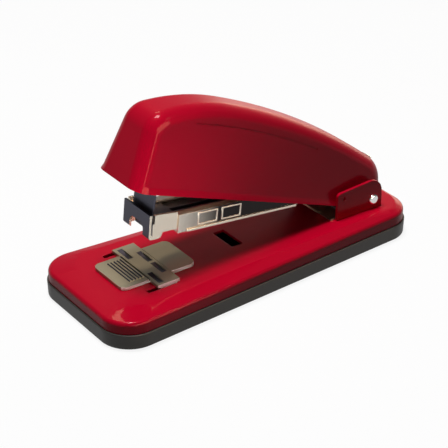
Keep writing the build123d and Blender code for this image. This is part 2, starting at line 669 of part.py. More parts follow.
# The nose head: a folded steel front with an arch for the staples, lugs at its lower corners and slit folds
with BuildPart() as nose_head:
    with BuildSketch(side_plane(REST_TILT)) as head_outline:
        with BuildLine():
            Polyline(
                (-HEAD_FRONT, HEAD_FOOT),
                (-HEAD_FRONT + LUG_LENGTH, HEAD_FOOT),
                (-HEAD_FRONT + LUG_LENGTH, NOTCH_FOOT),
                (-HEAD_BACK, NOTCH_FOOT),
                (-HEAD_BACK, HEAD_BACK_TOP),
                (-HEAD_FRONT, HEAD_TOP),
                close=True,
            )
        make_face()
        fillet(head_outline.vertices().sort_by_distance((-HEAD_FRONT + LUG_LENGTH, HEAD_FOOT))[0], LUG_ROUND)
        fillet(head_outline.vertices().sort_by_distance((-HEAD_FRONT, HEAD_FOOT))[0], LUG_FRONT_ROUND)
    extrude(amount=head_half, both=True)
    with BuildSketch(section_plane(REST_TILT, -HEAD_FRONT + HEAD_SHEET)):
        Rectangle(2 * channel_half, 4 * HEAD_TOP)
    extrude(amount=HEAD_FRONT, mode=Mode.SUBTRACT)
    with BuildSketch(section_plane(REST_TILT, -HEAD_FRONT)) as arch:
        with Locations((0, HEAD_FOOT + ARCH_HEIGHT)):
            Rectangle(ARCH_WIDTH, 2 * ARCH_HEIGHT, align=(Align.CENTER, Align.MAX))
        fillet(arch.vertices().group_by(Axis.Y)[-1], ARCH_ROUND)
    extrude(amount=2 * HEAD_SHEET, mode=Mode.SUBTRACT)
    for side in (-1, 1):
        with BuildSketch(side_plane(REST_TILT, side * head_half)):
            with Locations((-HEAD_FRONT + LUG_LENGTH / 2, (NOTCH_FOOT + HEAD_BACK_TOP) / 2)):
                RectangleRounded(RIB_WIDTH, HEAD_BACK_TOP - NOTCH_FOOT + RIB_WIDTH / 2, RIB_WIDTH / 4)
        extrude(amount=-side * RIB_PROUD)
    with BuildSketch(side_plane(REST_TILT)):
        with Locations((-HEAD_FRONT + HEAD_SHEET, HEAD_TOP)):
            Rectangle(SLIT_WIDTH, 2 * SLIT_DEPTH, align=(Align.MIN, Align.CENTER))
    extrude(amount=2 * head_half, both=True, mode=Mode.SUBTRACT)
nose_head.part.label = "nose_head"

# The staple rail: an upturned channel that the staples straddle, slotted along its top
with BuildPart() as staple_rail:
    with BuildSketch(section_plane(REST_TILT, -CHANNEL_FRONT)):
        with Locations((0, channel_floor)):
            Rectangle(RAIL_WIDTH, RAIL_HEIGHT, align=(Align.CENTER, Align.MIN))
            Rectangle(
                RAIL_WIDTH - 2 * RAIL_SHEET,
                RAIL_HEIGHT - RAIL_SHEET,
                align=(Align.CENTER, Align.MIN),
                mode=Mode.SUBTRACT,
            )
    extrude(amount=rail_length)
    with BuildSketch(plan_plane(REST_TILT, rail_top)):
        with Locations((-(CHANNEL_FRONT + block_front) / 2, 0)):
            SlotOverall(rail_length - 2 * RAIL_SLOT_ENDS, RAIL_SLOT)
    extrude(amount=-2 * RAIL_SHEET, mode=Mode.SUBTRACT)
    with BuildSketch(section_plane(REST_TILT, -CHANNEL_FRONT)):
        with Locations((0, channel_floor)):
            Rectangle(RAIL_WIDTH, RAIL_HEIGHT, align=(Align.CENTER, Align.MIN))
        with Locations((0, rod_height)):
            Circle(ROD_R + RUNNING_FIT, mode=Mode.SUBTRACT)
    extrude(amount=RAIL_SHEET)
staple_rail.part.label = "staple_rail"

# The guide rod inside the rail, from its front wall to the rear block
with BuildPart() as guide_rod:
    with BuildSketch(section_plane(REST_TILT, -CHANNEL_FRONT)):
        with Locations((0, rod_height)):
            Circle(ROD_R)
    extrude(amount=rail_length + ROD_SEAT)
guide_rod.part.label = "guide_rod"

# The rear block that closes the channel, grooved on top for the latch
block_top = channel_top - SEAT_GAP
groove_floor = block_top - LATCH_GROOVE_DEPTH

with BuildPart() as rear_block:
    with BuildSketch(section_plane(REST_TILT, -block_front)):
        with Locations((0, channel_floor)):
            Rectangle(
                2 * (channel_inner - SEAT_GAP),
                block_top - channel_floor,
                align=(Align.CENTER, Align.MIN),
            )
    extrude(amount=BLOCK_LENGTH)
    with BuildSketch(plan_plane(REST_TILT, block_top)):
        with Locations((-LATCH_GROOVE_FRONT, 0)):
            Rectangle(BLOCK_LENGTH, LATCH_WIDTH + 2 * SLIDE_GAP, align=(Align.MIN, Align.CENTER))
    extrude(amount=-LATCH_GROOVE_DEPTH, mode=Mode.SUBTRACT)
    with BuildSketch(plan_plane(REST_TILT, block_top)):
        with Locations((-LATCH_GROOVE_FRONT, 0)):
            Rectangle(
                LATCH_GROOVE_FRONT - LATCH_FRONT,
                LATCH_WIDTH + 2 * SLIDE_GAP,
                align=(Align.MIN, Align.CENTER),
            )
    extrude(amount=-LATCH_POCKET_DEPTH, mode=Mode.SUBTRACT)
    with BuildSketch(section_plane(REST_TILT, -block_front)):
        with Locations((0, rod_height)):
            Circle(ROD_R + RUNNING_FIT)
    extrude(amount=ROD_SEAT, mode=Mode.SUBTRACT)
rear_block.part.label = "rear_block"

# The spring seat: a plate across the channel's lips that the handle spring stands on
with BuildPart() as spring_seat:
    with BuildSketch(plan_plane(REST_TILT, channel_top)):
        with Locations((-SPRING_SEAT_AT, 0)):
            Rectangle(SPRING_SEAT_LENGTH, CHANNEL_WIDTH)
    extrude(amount=SPRING_SEAT_SHEET)
spring_seat.part.label = "spring_seat"

# The pusher: a saddle over the rail, with a tongue through the slot that slides on the guide rod
pusher_inner = RAIL_WIDTH / 2 + SLIDE_GAP
pusher_under = rail_top + SLIDE_GAP
pusher_rear = PUSHER_FRONT - PUSHER_LENGTH

with BuildPart() as pusher:
    with BuildSketch(section_plane(REST_TILT, -PUSHER_FRONT)):
        with Locations((0, channel_floor + MOVING_GAP)):
            Rectangle(
                2 * (pusher_inner + PUSHER_SHEET),
                pusher_under + PUSHER_SHEET - channel_floor - MOVING_GAP,
                align=(Align.CENTER, Align.MIN),
            )
            Rectangle(
                2 * pusher_inner,
                pusher_under - channel_floor - MOVING_GAP,
                align=(Align.CENTER, Align.MIN),
                mode=Mode.SUBTRACT,
            )
    extrude(amount=PUSHER_LENGTH)
    with BuildSketch(section_plane(REST_TILT, -pusher_rear - PUSHER_TONGUE_LENGTH)):
        with Locations((0, rod_height)):
            Rectangle(PUSHER_TONGUE, pusher_under - rod_height, align=(Align.CENTER, Align.MIN))
            Rectangle(PUSHER_SADDLE, 2 * (rod_height - channel_floor - MOVING_GAP))
            Circle(ROD_R + RUNNING_FIT, mode=Mode.SUBTRACT)
    extrude(amount=PUSHER_TONGUE_LENGTH)
pusher.part.label = "pusher"

# The pusher spring, wound round the guide rod between the pusher and the rear block
pusher_spring_start = section_plane(REST_TILT, -pusher_rear)
pusher_spring_start = pusher_spring_start.offset(PUSHER_SPRING_WIRE / 2 + SLIDE_GAP)
pusher_spring_length = pusher_rear - block_front - PUSHER_SPRING_WIRE - 2 * SLIDE_GAP

with BuildPart() as pusher_spring:
    with BuildLine(shifted(pusher_spring_start, 0, rod_height)) as winding:
        coil_arcs(PUSHER_SPRING_R, pusher_spring_length, PUSHER_SPRING_TURNS)
    with BuildSketch(Plane(winding.line @ 0, z_dir=winding.line % 0)):
        Circle(PUSHER_SPRING_WIRE / 2)
    sweep(path=winding.wire())
pusher_spring.part.label = "pusher_spring"
coil_gap("pusher spring", winding.wire(), PUSHER_SPRING_WIRE, PUSHER_SPRING_TURNS)

# The release latch: a strip in the block's groove whose bent-up end shows behind the handle
latch_under = groove_floor + SLIDE_GAP

with BuildPart() as release_latch:
    with BuildSketch(side_plane(REST_TILT)):
        with BuildLine():
            Polyline(
                (-LATCH_FRONT, latch_under),
                (LATCH_BEND, latch_under),
                (LATCH_BEND + LATCH_TIP_RUN, latch_under + LATCH_TIP_RISE),
            )
            offset(amount=LATCH_SHEET, side=Side.LEFT)
        make_face()
    extrude(amount=LATCH_WIDTH / 2, both=True)
release_latch.part.label = "release_latch"

# The latch spring, in the pocket between the block and the latch's front end
latch_spring_height = block_top - LATCH_POCKET_DEPTH + LATCH_SPRING_R + LATCH_SPRING_WIRE / 2 + SLIDE_GAP
latch_spring_start = section_plane(REST_TILT, -LATCH_GROOVE_FRONT + LATCH_SPRING_WIRE / 2 + SLIDE_GAP)
latch_spring_length = LATCH_GROOVE_FRONT - LATCH_FRONT - LATCH_SPRING_WIRE - 2 * SLIDE_GAP

with BuildPart() as latch_spring:
    with BuildLine(shifted(latch_spring_start, 0, latch_spring_height)) as winding:
        coil_arcs(LATCH_SPRING_R, latch_spring_length, LATCH_SPRING_TURNS)
    with BuildSketch(Plane(winding.line @ 0, z_dir=winding.line % 0)):
        Circle(LATCH_SPRING_WIRE / 2)
    sweep(path=winding.wire())
latch_spring.part.label = "latch_spring"
coil_gap("latch spring", winding.wire(), LATCH_SPRING_WIRE, LATCH_SPRING_TURNS)

# The handle cover: a deep drawn shell whose walls lean in towards its top and draw in towards the rear
edge_break_z = NOSE_FOOT_Z - (EDGE_BREAK_X - NOSE_FOOT_X) * tan(radians(EDGE_SLOPE))
crown_turn = 90 - NOSE_LEAN
crown_z = CROWN_TOP - CROWN_R * (1 - cos(radians(crown_turn)))
crown_x = NOSE_FOOT_X + (crown_z - NOSE_FOOT_Z) * tan(radians(NOSE_LEAN))
hem_way = Vector(sin(radians(EDGE_SLOPE)), 0, cos(radians(EDGE_SLOPE)))
hem_line = Vector(NOSE_FOOT_X, 0, NOSE_FOOT_Z).dot(hem_way) + HEM_HEIGHT
back_centre_x = crown_x + CROWN_R * cos(radians(NOSE_LEAN)) - (BACK_R - BROW_R) * sin(radians(BROW_TURN))
back_centre_z = CROWN_TOP - BROW_R - (BACK_R - BROW_R) * cos(radians(BROW_TURN))


def cover_form(flare):
    """The solid form of the cover, whose two walls lean out more by a flare about the hem line."""
    nose_way = (sin(radians(NOSE_LEAN)), cos(radians(NOSE_LEAN)))
    with BuildPart() as form:
        with BuildSketch(Plane.XZ):
            with BuildLine():
                crown = JernArc((crown_x, crown_z), nose_way, CROWN_R, -crown_turn)
                brow = JernArc(crown @ 1, crown % 1, BROW_R, -BROW_TURN)
                back = JernArc(brow @ 1, brow % 1, BACK_R, -BACK_TURN)
                tail = JernArc(back @ 1, back % 1, TAIL_R, -TAIL_TURN)
                tail_end = tail @ 1
                tail_way = tail % 1
                tail_foot = tail_end + tail_way * ((TAIL_FOOT_Z - tail_end.Y) / tail_way.Y)
                Polyline(
                    tail_end,
                    tail_foot,
                    (EDGE_BREAK_X, edge_break_z),
                    (NOSE_FOOT_X, NOSE_FOOT_Z),
                    (crown_x, crown_z),
                )
            make_face()
        extrude(amount=COVER_FRONT_WIDTH, both=True)
        for side in (-1, 1):
            lean_way = Vector(wall_draw, side, wall_lean) + hem_way * flare
            wall = Plane((0, side * (wall_origin + flare * hem_line), 0), z_dir=lean_way)
            split(bisect_by=wall, keep=Keep.BOTTOM)
        under = form.faces().filter_by(lambda face: face.normal_at().Z < -cos(radians(2 * EDGE_SLOPE)))
        walls = form.faces().sort_by(Axis.Y)
        shared = [*walls[0].edges(), *walls[-1].edges()]
        kept = [edge for edge in shared if edge not in under.edges()]
        fillet(kept, COVER_ROUND)
    return form.part


def crease_point(wall, side, x):
    """A place on the crease, which runs along the back's arc at an even drop, in the wall's own x and y."""
    z = back_centre_z + ((BACK_R - CREASE_DROP) ** 2 - (x - back_centre_x) ** 2) ** 0.5
    place = wall.to_local_coords(Vector(x, side * cover_half(x, z), z))
    return (place.X, place.Y)


with BuildPart() as cover_hem:
    add(cover_form(tan(radians(HEM_FLARE))))
    add(cover_form(0), mode=Mode.SUBTRACT)
    split(bisect_by=Plane(hem_way * hem_line, z_dir=hem_way), keep=Keep.BOTTOM)

slot_foot = latch_under - LATCH_SLOT_BELOW
slot_height = LATCH_SHEET + LATCH_TIP_RISE + LATCH_SLOT_BELOW + LATCH_SLOT_ABOVE

with BuildPart() as handle_cover:
    add(cover_form(0))
    under = handle_cover.faces().filter_by(lambda face: face.normal_at().Z < -cos(radians(2 * EDGE_SLOPE)))
    offset(amount=-COVER_SKIN, openings=under)
    add(cover_hem.part)
    with BuildSketch(Plane.XZ):
        with Locations((PIN_X, PIN_Z)):
            Circle(COVER_PIN_HOLE_R)
    extrude(amount=COVER_FRONT_WIDTH, both=True, mode=Mode.SUBTRACT)
    with BuildSketch(side_plane(REST_TILT)):
        with Locations((LATCH_BEND - LATCH_TIP_RUN, slot_foot)):
            Rectangle(LATCH_SLOT_LENGTH, slot_height, align=(Align.MIN, Align.MIN))
    extrude(amount=LATCH_SLOT_WIDTH / 2, both=True, mode=Mode.SUBTRACT)
    for side in (-1, 1):
        wall_way = Vector(wall_draw, side, wall_lean)
        wall = Plane((0, side * wall_origin, 0), x_dir=(1, -side * wall_draw, 0), z_dir=wall_way)
        crease_places = (CREASE_FRONT_X, (CREASE_FRONT_X + CREASE_REAR_X) / 2, CREASE_REAR_X)
        with BuildSketch(wall):
            with BuildLine():
                ThreePointArc(*[crease_point(wall, side, x) for x in crease_places])
            trace(line_width=CREASE_WIDTH)
        extrude(amount=-CREASE_DEPTH, mode=Mode.SUBTRACT)
handle_cover.part.label = "handle_cover"

# The driver lever: an upturned channel inside the cover, with arms back to the pin, drawn as if pressed
lever_front = BLADE_AT - BLADE_THICK / 2
web_slope = (LEVER_TOP_FRONT - LEVER_TOP_REAR) / (lever_front - LEVER_WEB_REAR)
tab_place = hinge_point(drive_tilt, -TAB_REAR, TAB_FOOT + LEVER_SHEET)
tab_half = cover_half(tab_place.X, tab_place.Z) - wall_skin - LEVER_PLAY
blade_rivet_height = (LEVER_FOOT + BLADE_TOP) / 2

with BuildPart() as driver_lever:
    with BuildSketch(side_plane(drive_tilt)):
        with BuildLine():
            Polyline(
                (-lever_front, LEVER_FOOT),
                (-lever_front, LEVER_TOP_FRONT),
                (-LEVER_WEB_REAR, LEVER_TOP_REAR),
                (-LEVER_ARM_AT, LEVER_ARM_HEIGHT),
                (0, LEVER_EYE_R),
                (0, -LEVER_EYE_R),
                (-LEVER_ARM_AT, LEVER_ARM_HEIGHT - LEVER_ARM_DEPTH),
                (-LEVER_WEB_REAR - LEVER_ARM_ROOT, LEVER_FOOT),
                close=True,
            )
        make_face()
        Circle(LEVER_EYE_R)
        Circle(PIN_R + RUNNING_FIT, mode=Mode.SUBTRACT)
    extrude(amount=lever_outer, both=True)
    with BuildSketch(side_plane(drive_tilt)):
        with BuildLine():
            Polyline(
                (-lever_front + LEVER_SHEET, -LEVER_TOP_FRONT),
                (-lever_front + LEVER_SHEET, LEVER_TOP_FRONT - LEVER_SHEET * (1 + web_slope)),
                (-LEVER_WEB_REAR, LEVER_TOP_REAR - LEVER_SHEET),
                (-LEVER_WEB_REAR, 2 * LEVER_TOP_FRONT),
                (2 * LEVER_EYE_R, 2 * LEVER_TOP_FRONT),
                (2 * LEVER_EYE_R, -LEVER_TOP_FRONT),
                close=True,
            )
        make_face()
    extrude(amount=lever_inner, both=True, mode=Mode.SUBTRACT)
    for side in (-1, 1):
        with BuildSketch(plan_plane(drive_tilt, TAB_FOOT)):
            with Locations((-(TAB_FRONT + TAB_REAR) / 2, side * (lever_inner + tab_half) / 2)):
                Rectangle(TAB_FRONT - TAB_REAR, tab_half - lever_inner)
        extrude(amount=LEVER_SHEET)
    with BuildSketch(section_plane(drive_tilt, -lever_front)):
        with Locations((0, blade_rivet_height)):
            with GridLocations(BLADE_RIVET_PITCH, 1, 2, 1):
                Circle(BLADE_RIVET_R + RUNNING_FIT)
    extrude(amount=2 * LEVER_SHEET, mode=Mode.SUBTRACT)
driver_lever.part.label = "driver_lever"

# The driver blade, riveted to the lever's front
with BuildPart() as driver_blade:
    with BuildSketch(section_plane(drive_tilt, -lever_front)):
        with Locations((0, BLADE_FOOT)):
            Rectangle(BLADE_WIDTH, BLADE_TOP - BLADE_FOOT, align=(Align.CENTER, Align.MIN))
        with Locations((0, blade_rivet_height)):
            with GridLocations(BLADE_RIVET_PITCH, 1, 2, 1):
                Circle(BLADE_RIVET_R + RUNNING_FIT, mode=Mode.SUBTRACT)
    extrude(amount=-BLADE_THICK)
driver_blade.part.label = "driver_blade"

with BuildPart() as blade_rivets:
    rivet_front = -lever_front - BLADE_THICK
    rivet_rear = -lever_front + LEVER_SHEET
    for start, radius, length in (
        (rivet_front - BLADE_RIVET_HEAD, BLADE_RIVET_HEAD_R, BLADE_RIVET_HEAD),
        (rivet_front, BLADE_RIVET_R, rivet_rear - rivet_front),
        (rivet_rear, BLADE_RIVET_HEAD_R, BLADE_RIVET_HEAD),
    ):
        with BuildSketch(section_plane(drive_tilt, start)):
            with Locations((0, blade_rivet_height)):
                with GridLocations(BLADE_RIVET_PITCH, 1, 2, 1):
                    Circle(radius)
        extrude(amount=length)
blade_rivets.part.label = "blade_rivets"

# The handle spring, between the seat on the magazine and the underside of the lever
seat_top = channel_top + SPRING_SEAT_SHEET
web_under = LEVER_TOP_FRONT - web_slope * (lever_front - SPRING_SEAT_AT) - LEVER_SHEET * (1 + web_slope)
web_rest = web_under * cos(radians(DRIVE_ANGLE)) + SPRING_SEAT_AT * sin(radians(DRIVE_ANGLE))
web_dip = HANDLE_SPRING_R * tan(radians(2 * DRIVE_ANGLE))
handle_spring_length = web_rest - seat_top - web_dip - HANDLE_SPRING_WIRE - 2 * SLIDE_GAP
handle_spring_foot = plan_plane(REST_TILT, seat_top + HANDLE_SPRING_WIRE / 2 + SLIDE_GAP)

with BuildPart() as handle_spring:
    with BuildLine(shifted(handle_spring_foot, -SPRING_SEAT_AT, 0)) as winding:
        coil_arcs(HANDLE_SPRING_R, handle_spring_length, HANDLE_SPRING_TURNS)
    with BuildSketch(Plane(winding.line @ 0, z_dir=winding.line % 0)):
        Circle(HANDLE_SPRING_WIRE / 2)
    sweep(path=winding.wire())
handle_spring.part.label = "handle_spring"
coil_gap("handle spring", winding.wire(), HANDLE_SPRING_WIRE, HANDLE_SPRING_TURNS)

pieces = (
    rubber_feet,
    sole_tray,
    base_plate,
    hinge_bracket,
    hinge_pin,
    pin_washers,
    bracket_rivets,
    lift_spring,
    anvil_plate,
    anvil_keeper,
    magazine_channel,
    nose_head,
    staple_rail,
    guide_rod,
    rear_block,
    spring_seat,
    pusher,
    pusher_spring,
    release_latch,
    latch_spring,
    handle_cover,
    driver_lever,
    driver_blade,
    blade_rivets,
    handle_spring,
)
for piece in pieces:
    export_step(piece.part, f"parts/{piece.part.label}.step")
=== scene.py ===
"""Dresses the red desk stapler: rounds its pressed edges, finishes its pieces and sets up a studio.

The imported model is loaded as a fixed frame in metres, with +X from the nose to the hinge and +Z up.
"""

from __future__ import annotations

import json
import logging
from collections.abc import Callable
from dataclasses import dataclass, field
from enum import Enum
from math import radians

import bpy
from mathutils import Matrix, Vector


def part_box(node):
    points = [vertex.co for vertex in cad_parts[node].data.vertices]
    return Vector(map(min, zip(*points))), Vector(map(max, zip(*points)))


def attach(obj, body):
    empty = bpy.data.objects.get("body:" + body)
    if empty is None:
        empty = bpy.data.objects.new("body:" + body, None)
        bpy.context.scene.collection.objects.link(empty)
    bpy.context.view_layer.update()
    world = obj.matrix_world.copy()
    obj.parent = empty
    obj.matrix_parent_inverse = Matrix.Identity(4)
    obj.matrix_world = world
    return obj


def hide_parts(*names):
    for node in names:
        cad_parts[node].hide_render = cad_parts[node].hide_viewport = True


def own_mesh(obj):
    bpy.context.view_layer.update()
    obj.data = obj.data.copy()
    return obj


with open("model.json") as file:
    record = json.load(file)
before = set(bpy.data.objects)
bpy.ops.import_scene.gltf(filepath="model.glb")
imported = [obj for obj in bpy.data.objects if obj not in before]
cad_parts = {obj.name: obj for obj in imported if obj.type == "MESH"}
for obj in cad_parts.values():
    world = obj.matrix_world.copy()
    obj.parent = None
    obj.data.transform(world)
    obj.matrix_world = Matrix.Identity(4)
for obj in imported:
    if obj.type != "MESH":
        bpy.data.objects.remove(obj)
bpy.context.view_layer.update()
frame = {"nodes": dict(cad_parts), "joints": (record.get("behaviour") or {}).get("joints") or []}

MM = 0.001
Colour = tuple[float, float, float, float]
Place = tuple[float, float, float]
FaceTest = Callable[[Vector, Vector], bool]

# The sockets of a Mix node that mixes colours, which share their names with its other kinds
MIX_SHARE, MIX_FROM, MIX_TO, MIX_RESULT = 0, 6, 7, 2

logging.basicConfig(level=logging.INFO, format="%(message)s")
log = logging.getLogger("stapler")


class Body(Enum):
    """The bodies of the stapler that move by themselves."""

    BASE = "base"
    ANVIL = "anvil"
    MAGAZINE = "magazine"
    PUSHER = "pusher"
    LATCH = "latch"
    HANDLE = "handle"


class Slot(Enum):
    """The record's material slots."""

    PAINT = "red_paint"
    SOLE = "sole_black"
    RUBBER = "foot_rubber"
    NICKEL = "nickel_steel"
    PLAIN = "plain_steel"
    SPRING = "spring_steel"
    ANVIL = "anvil_steel"
    CHROME = "pin_chrome"


class Surface(Enum):
    """How a surface's grain runs, with the stretch that this gives its pattern along X, Y and Z."""

    EVEN = (1.0, 1.0, 1.0)
    ROLLED = (0.06, 1.0, 1.0)
    GROUND = (1.0, 1.0, 0.08)


def linear(hex_colour: str) -> Colour:
    """Turn an sRGB hex value into a linear colour, by the sRGB curve.

    Args:
        hex_colour: six hex digits after a hash.

    Returns:
        Linear red, green and blue with an alpha of one.
    """
    channels = [int(hex_colour[at:at + 2], 16) / 255 for at in (1, 3, 5)]
    red, green, blue = (
        c / 12.92 if c <= 0.04045 else ((c + 0.055) / 1.055) ** 2.4 for c in channels
    )
    return (red, green, blue, 1.0)


WHITE = linear("#FFFFFF")


def add_node(
    tree: bpy.types.NodeTree,
    kind: str,
    settings: dict[str | int, object] | None = None,
    links: dict[str | int, bpy.types.NodeSocket] | None = None,
) -> bpy.types.Node:
    """Add a node to a tree, with its settings and its incoming links.

    Args:
        tree: the node tree of a material or of the world.
        kind: the node's type name.
        settings: values by the name or number of an input, or by the name of a property.
        links: the sockets that feed the node, by the name or number of its input.

    Returns:
        The new node.
    """
    node = tree.nodes.new(kind)
    for key, value in (settings or {}).items():
        if isinstance(key, int) or key in node.inputs:
            node.inputs[key].default_value = value
        else:
            setattr(node, key, value)
    for key, socket in (links or {}).items():
        tree.links.new(socket, node.inputs[key])
    return node


@dataclass(frozen=True)
class Finish:
    """A finish: its two close tones, its gloss, and a grain of a real width and relief.

    The two tones change over in clouds. A far tone, where there is one, takes over along X; on the
    side plates it is a painted dark reflection.
    """

    name: str
    tone: str
    shade: str
    surface: Surface
    roughness: float
    spread: float
    grain_mm: float
    relief_mm: float
    metallic: float = 0.0
    specular: float = 0.5
    sheen_tone: str = "#FFFFFF"
    coat: float = 0.0
    coat_roughness: float = 0.06
    grain_detail: float = 3.0
    grain_roughness: float = 0.55
    relief_strength: float = 0.6
    cloud_mm: float = 26.0
    cloud_detail: float = 4.0
    cloud_roughness: float = 0.6
    far_tone: str = ""
    far_from_mm: float = 0.0
    far_at_mm: float = 0.0

    def material(self) -> bpy.types.Material:
        """Return this finish's material, which is made at its first use."""
        return bpy.data.materials.get(self.name) or self.build()

    def build(self) -> bpy.types.Material:
        """Make the material.

        Returns:
            A node material whose patterns lie on Object coordinates.
        """
        material = bpy.data.materials.new(self.name)
        material.use_nodes = True
        tree = material.node_tree
        tree.nodes.clear()
        place = add_node(tree, "ShaderNodeTexCoord").outputs["Object"]
        drawn = add_node(tree, "ShaderNodeMapping", {"Scale": self.surface.value}, {"Vector": place})
        grain = add_node(
            tree,
            "ShaderNodeTexNoise",
            {
                "Scale": 1 / (self.grain_mm * MM),
                "Detail": self.grain_detail,
                "Roughness": self.grain_roughness,
            },
            {"Vector": drawn.outputs["Vector"]},
        ).outputs["Fac"]
        gloss = add_node(
            tree,
            "ShaderNodeMapRange",
            {"To Min": self.roughness - self.spread, "To Max": self.roughness + self.spread},
            {"Value": grain},
        )
        relief = add_node(
            tree,
            "ShaderNodeBump",
            {"Strength": self.relief_strength, "Distance": self.relief_mm * MM},
            {"Height": grain},
        )
        skin = add_node(
            tree,
            "ShaderNodeBsdfPrincipled",
            {
                "Metallic": self.metallic,
                "Specular IOR Level": self.specular,
                "Specular Tint": linear(self.sheen_tone),
                "Coat Weight": self.coat,
                "Coat Roughness": self.coat_roughness,
            },
            {
                "Base Color": self.tint(tree, place),
                "Roughness": gloss.outputs["Result"],
                "Normal": relief.outputs["Normal"],
            },
        )
        add_node(tree, "ShaderNodeOutputMaterial", {}, {"Surface": skin.outputs["BSDF"]})
        return material

    def tint(self, tree: bpy.types.NodeTree, place: bpy.types.NodeSocket) -> bpy.types.NodeSocket:
        """Mix the finish's tones.

        Args:
            tree: the material's node tree.
            place: the Object coordinates.

        Returns:
            The colour, as a socket.
        """
        cloud = add_node(
            tree,
            "ShaderNodeTexNoise",
            {
                "Scale": 1 / (self.cloud_mm * MM),
                "Detail": self.cloud_detail,
                "Roughness": self.cloud_roughness,
            },
            {"Vector": place},
        )
        near = add_node(
            tree,
            "ShaderNodeMix",
            {"data_type": "RGBA", MIX_FROM: linear(self.shade), MIX_TO: linear(self.tone)},
            {MIX_SHARE: cloud.outputs["Fac"]},
        ).outputs[MIX_RESULT]
        if not self.far_tone:
            return near
        along = add_node(tree, "ShaderNodeSeparateXYZ", {}, {"Vector": place})
        share = add_node(
            tree,
            "ShaderNodeMapRange",
            {"From Min": self.far_from_mm * MM, "From Max": self.far_at_mm * MM},
            {"Value": along.outputs["X"]},
        )
        return add_node(
            tree,
            "ShaderNodeMix",
            {"data_type": "RGBA", MIX_TO: linear(self.far_tone)},
            {MIX_SHARE: share.outputs["Result"], MIX_FROM: near},
        ).outputs[MIX_RESULT]


# Stove enamel on pressed steel: a deep red whose broad sheen is red too, under a thin clear gloss
ENAMEL = Finish(
    "red_stove_enamel", "#BC0226", "#B40124", Surface.EVEN,
    roughness=0.36, spread=0.02, grain_mm=1.4, relief_mm=0.005,
    specular=0.15, sheen_tone="#FF2A44", coat=0.15,
)
# Moulded polystyrene: a warm black with a soft sheen and a fine spark-eroded grain
SOLE = Finish(
    "black_moulded_polystyrene", "#3A3733", "#32302C", Surface.EVEN,
    roughness=0.44, spread=0.06, grain_mm=0.6, relief_mm=0.020, specular=0.45,
)
# Soft moulded rubber: dull, with a powdery bloom
RUBBER = Finish(
    "black_rubber", "#1C1B1A", "#151413", Surface.EVEN,
    roughness=0.82, spread=0.05, grain_mm=0.5, relief_mm=0.020,
)
# Bright nickel on cold-rolled sheet: warm and mirror-like, with faint lines along the sheet
NICKEL = Finish(
    "nickel_plated_sheet", "#F2E8D8", "#E6DBC8", Surface.ROLLED,
    roughness=0.20, spread=0.05, grain_mm=0.5, relief_mm=0.003, metallic=0.75,
)
# Satin zinc on stamped steel: an olive grey with a soft sheen and fine lines along the sheet
ZINC = Finish(
    "satin_zinc_stamping", "#A6A28D", "#9A9681", Surface.ROLLED,
    roughness=0.36, spread=0.06, grain_mm=0.5, relief_mm=0.005, metallic=0.70,
)
# Freshly sheared steel, where the die has broken through the plating, painted near white as a
# highlight along the anvil's edges
SHEARED_AND_PAINTED_HIGHLIGHT = Finish(
    "sheared_steel_edge_painted_highlight", "#FFFFFC", "#FAF9F5", Surface.GROUND,
    roughness=0.42, spread=0.05, grain_mm=0.4, relief_mm=0.004, metallic=0.05,
)
# Blued steel: a dark blue-grey oxide with a soft gleam, on the driver blade; on the head's front
# wall, the staple rail, the pusher, the anvil's groove floors and the front halves of its ribs the
# same dark tone is painted shade
BLUED_AND_PAINTED_SHADE = Finish(
    "blued_steel_and_painted_shade", "#4C4C59", "#3E3E4A", Surface.GROUND,
    roughness=0.34, spread=0.06, grain_mm=0.4, relief_mm=0.004, metallic=0.80,
)
# Bright nickel sheet with a painted dark reflection, which darkens it from the nose towards the rear
NICKEL_PAINTED_DARK_REFLECTION = Finish(
    "nickel_sheet_painted_dark_reflection", "#E4DDD0", "#D6CFC2", Surface.ROLLED,
    roughness=0.24, spread=0.05, grain_mm=0.5, relief_mm=0.003, metallic=0.75,
    far_tone="#211D1D", far_from_mm=-32.0, far_at_mm=-14.0,
)
# Ground tool steel: grey, with fine grinding lines
GROUND = Finish(
    "ground_tool_steel", "#7E7E86", "#6C6C74", Surface.GROUND,
    roughness=0.30, spread=0.06, grain_mm=0.4, relief_mm=0.005, metallic=1.0,
)
# Tempered spring steel: warm grey and smooth
SPRING = Finish(
    "tempered_spring_steel", "#A09688", "#8E8578", Surface.ROLLED,
    roughness=0.32, spread=0.05, grain_mm=0.5, relief_mm=0.004, metallic=0.85,
)
# Chrome plate: a clear mirror
CHROME = Finish(
    "polished_chrome", "#EEEEEC", "#E4E4E2", Surface.EVEN,
    roughness=0.09, spread=0.02, grain_mm=2.0, relief_mm=0.001, metallic=1.0,
)


